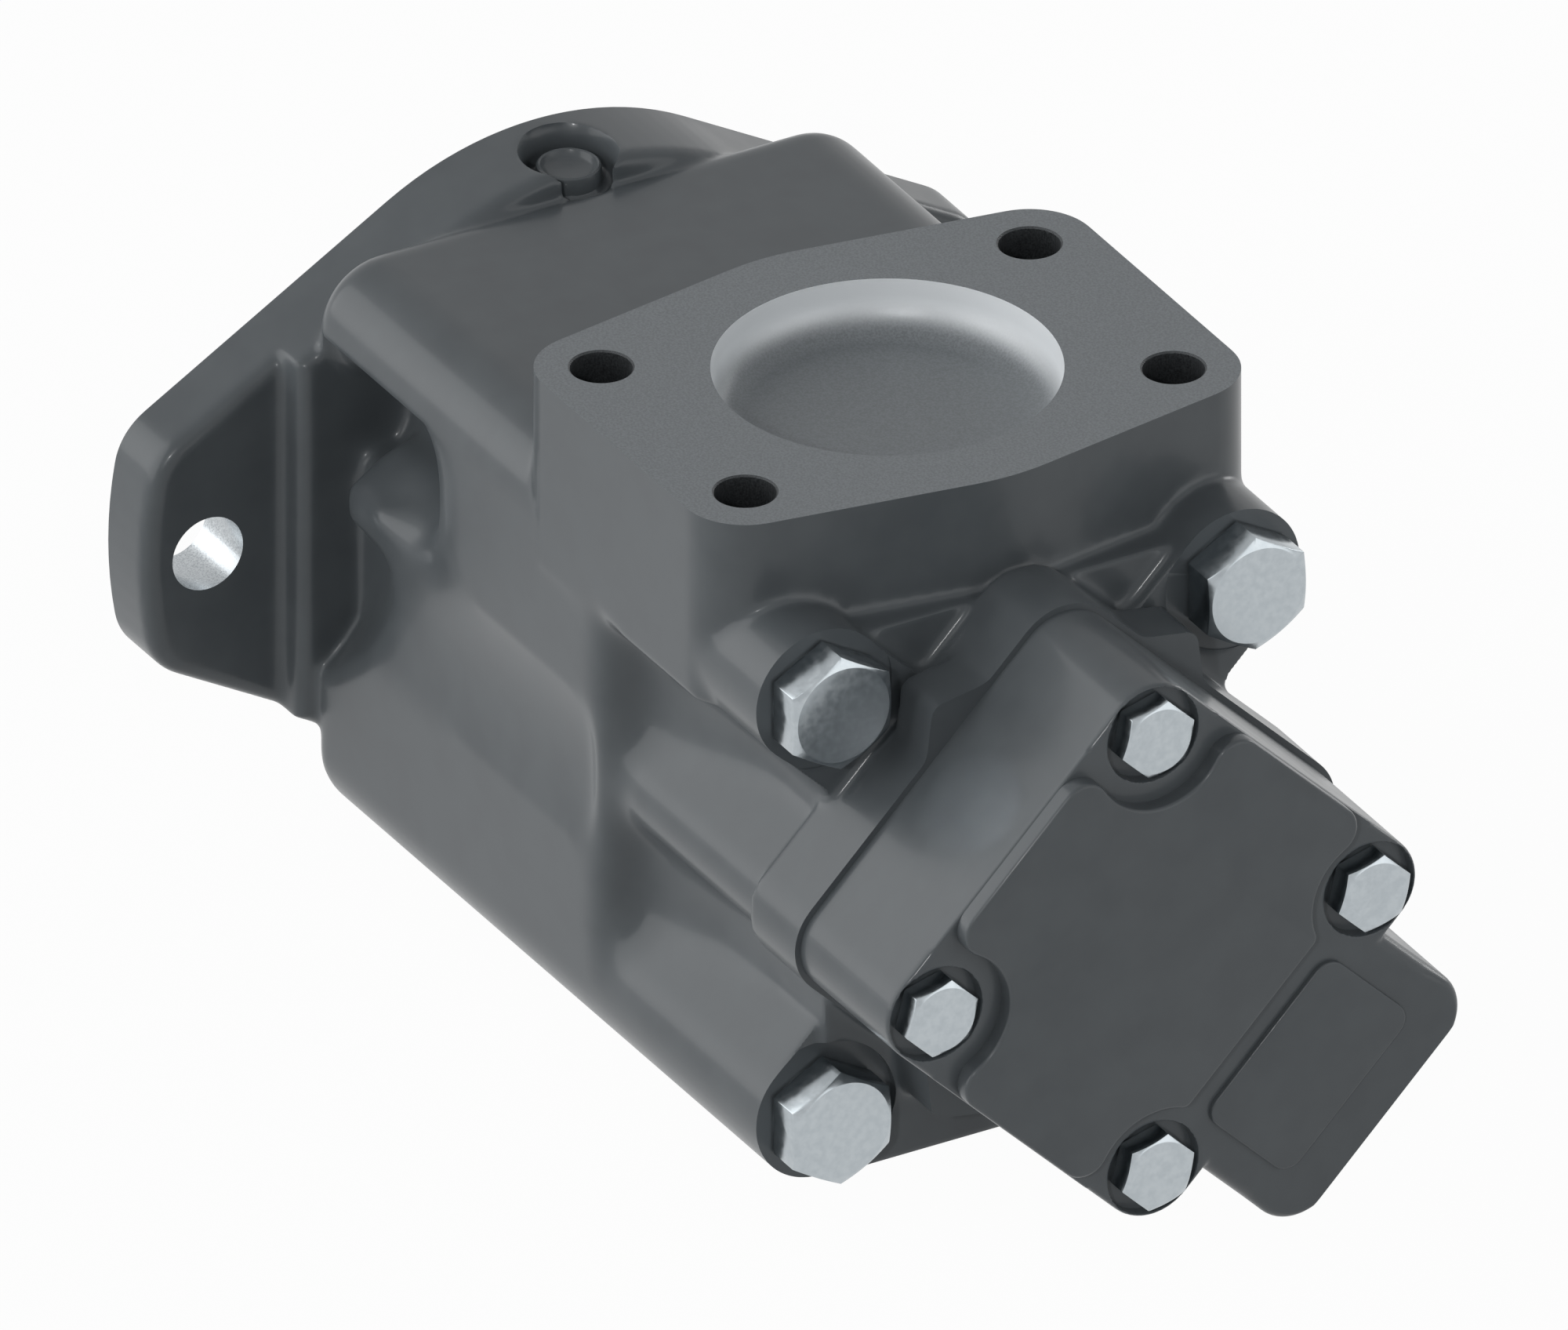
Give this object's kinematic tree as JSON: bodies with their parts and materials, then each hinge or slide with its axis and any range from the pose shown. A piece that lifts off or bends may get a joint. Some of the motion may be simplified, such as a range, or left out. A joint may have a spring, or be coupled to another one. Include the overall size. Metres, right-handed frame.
{
  "type": "hydraulic vane pump",
  "caption": "Double hydraulic vane pump: two-hole flange with pilot and keyed shaft, cast body with large suction port on top, end cap with angled outlet arm.",
  "frame": {"origin": "centre of the mounting face, where the pilot meets the flange, on the shaft axis", "axes": "+X along the shaft from the mounting flange to the end cap, +Z towards the suction port, +Y sideways along the flange ears"},
  "size_m": [0.3287, 0.212, 0.166],
  "materials": {
    "painted_casting": "satin grey paint on cast iron, fine speckle",
    "zinc_bolt": "bright zinc",
    "steel": "ground steel",
    "bearing_steel": "polished",
    "spring_steel": "blackened",
    "seal_steel": "pressed steel",
    "plate_iron": "machined",
    "bronze": "machined bronze",
    "rubber": "matt"
  },
  "bodies": {
    "casing": {"bearing_outer_ring": "bearing_steel", "bearing_retaining_ring": "spring_steel", "cap_o_ring": "rubber", "end_cap": "painted_casting", "end_cap_bolts": "zinc_bolt", "end_cap_o_ring": "rubber", "housing": "painted_casting", "housing_bolts": "zinc_bolt", "mounting_cap": "painted_casting", "p1_cam_ring": "steel", "p1_cartridge_screws": "steel", "p1_dowel_pins": "steel", "p1_inlet_plate": "plate_iron", "p1_plate_seal": "rubber", "p1_pressure_plate": "plate_iron", "p2_cam_ring": "steel", "p2_cartridge_screws": "steel", "p2_dowel_pins": "steel", "p2_inlet_plate": "plate_iron", "p2_plate_seal": "rubber", "p2_pressure_plate": "plate_iron", "rear_bush": "bronze", "seal_case": "seal_steel", "seal_lip": "rubber", "seal_spring": "spring_steel"},
    "rotating_group": {"drive_shaft": "steel", "shaft_key": "steel", "bearing_inner_ring": "bearing_steel", "shaft_retaining_ring": "spring_steel", "p1_rotor": "steel", "p2_rotor": "steel"},
    "bearing_cage_set": {"bearing_balls": "bearing_steel", "bearing_cage": "bronze"},
    "p1_vane_01_body": {"p1_vane_01": "steel"},
    "p1_vane_02_body": {"p1_vane_02": "steel"},
    "p1_vane_03_body": {"p1_vane_03": "steel"},
    "p1_vane_04_body": {"p1_vane_04": "steel"},
    "p1_vane_05_body": {"p1_vane_05": "steel"},
    "p1_vane_06_body": {"p1_vane_06": "steel"},
    "p1_vane_07_body": {"p1_vane_07": "steel"},
    "p1_vane_08_body": {"p1_vane_08": "steel"},
    "p1_vane_09_body": {"p1_vane_09": "steel"},
    "p1_vane_10_body": {"p1_vane_10": "steel"},
    "p2_vane_01_body": {"p2_vane_01": "steel"},
    "p2_vane_02_body": {"p2_vane_02": "steel"},
    "p2_vane_03_body": {"p2_vane_03": "steel"},
    "p2_vane_04_body": {"p2_vane_04": "steel"},
    "p2_vane_05_body": {"p2_vane_05": "steel"},
    "p2_vane_06_body": {"p2_vane_06": "steel"},
    "p2_vane_07_body": {"p2_vane_07": "steel"},
    "p2_vane_08_body": {"p2_vane_08": "steel"},
    "p2_vane_09_body": {"p2_vane_09": "steel"},
    "p2_vane_10_body": {"p2_vane_10": "steel"}
  },
  "joints": [
    {"name": "shaft_spin", "type": "hinge", "parent": "casing", "child": "rotating_group", "pos_m": [0, 0, 0], "axis": [1, 0, 0], "continuous": true},
    {"name": "bearing_cage_spin", "type": "hinge", "parent": "casing", "child": "bearing_cage_set", "pos_m": [0.004, 0, 0], "axis": [1, 0, 0], "continuous": true},
    {"name": "p1_vane_01_slide", "type": "slide", "parent": "rotating_group", "child": "p1_vane_01_body", "axis": [0, 0.9511, 0.309], "range_m": [0, 0.00038]},
    {"name": "p1_vane_02_slide", "type": "slide", "parent": "rotating_group", "child": "p1_vane_02_body", "axis": [0, 0.5878, 0.809], "range_m": [0, 0.0029]},
    {"name": "p1_vane_03_slide", "type": "slide", "parent": "rotating_group", "child": "p1_vane_03_body", "axis": [0, 0, 1], "range_m": [0, 0.00445]},
    {"name": "p1_vane_04_slide", "type": "slide", "parent": "rotating_group", "child": "p1_vane_04_body", "axis": [0, -0.5878, 0.809], "range_m": [0, 0.0029]},
    {"name": "p1_vane_05_slide", "type": "slide", "parent": "rotating_group", "child": "p1_vane_05_body", "axis": [0, -0.9511, 0.309], "range_m": [0, 0.00038]},
    {"name": "p1_vane_06_slide", "type": "slide", "parent": "rotating_group", "child": "p1_vane_06_body", "axis": [0, -0.9511, -0.309], "range_m": [0, 0.00038]},
    {"name": "p1_vane_07_slide", "type": "slide", "parent": "rotating_group", "child": "p1_vane_07_body", "axis": [0, -0.5878, -0.809], "range_m": [0, 0.0029]},
    {"name": "p1_vane_08_slide", "type": "slide", "parent": "rotating_group", "child": "p1_vane_08_body", "axis": [0, 0, -1], "range_m": [0, 0.00445]},
    {"name": "p1_vane_09_slide", "type": "slide", "parent": "rotating_group", "child": "p1_vane_09_body", "axis": [0, 0.5878, -0.809], "range_m": [0, 0.0029]},
    {"name": "p1_vane_10_slide", "type": "slide", "parent": "rotating_group", "child": "p1_vane_10_body", "axis": [0, 0.9511, -0.309], "range_m": [0, 0.00038]},
    {"name": "p2_vane_01_slide", "type": "slide", "parent": "rotating_group", "child": "p2_vane_01_body", "axis": [0, 0.9511, 0.309], "range_m": [0, 0.000294]},
    {"name": "p2_vane_02_slide", "type": "slide", "parent": "rotating_group", "child": "p2_vane_02_body", "axis": [0, 0.5878, 0.809], "range_m": [0, 0.00231]},
    {"name": "p2_vane_03_slide", "type": "slide", "parent": "rotating_group", "child": "p2_vane_03_body", "axis": [0, 0, 1], "range_m": [0, 0.00355]},
    {"name": "p2_vane_04_slide", "type": "slide", "parent": "rotating_group", "child": "p2_vane_04_body", "axis": [0, -0.5878, 0.809], "range_m": [0, 0.00231]},
    {"name": "p2_vane_05_slide", "type": "slide", "parent": "rotating_group", "child": "p2_vane_05_body", "axis": [0, -0.9511, 0.309], "range_m": [0, 0.000294]},
    {"name": "p2_vane_06_slide", "type": "slide", "parent": "rotating_group", "child": "p2_vane_06_body", "axis": [0, -0.9511, -0.309], "range_m": [0, 0.000294]},
    {"name": "p2_vane_07_slide", "type": "slide", "parent": "rotating_group", "child": "p2_vane_07_body", "axis": [0, -0.5878, -0.809], "range_m": [0, 0.00231]},
    {"name": "p2_vane_08_slide", "type": "slide", "parent": "rotating_group", "child": "p2_vane_08_body", "axis": [0, 0, -1], "range_m": [0, 0.00355]},
    {"name": "p2_vane_09_slide", "type": "slide", "parent": "rotating_group", "child": "p2_vane_09_body", "axis": [0, 0.5878, -0.809], "range_m": [0, 0.00231]},
    {"name": "p2_vane_10_slide", "type": "slide", "parent": "rotating_group", "child": "p2_vane_10_body", "axis": [0, 0.9511, -0.309], "range_m": [0, 0.000294]}
  ],
  "couplings": [
    {"joint": "bearing_cage_spin", "follows": "shaft_spin", "ratio": 0.40083}
  ]
}
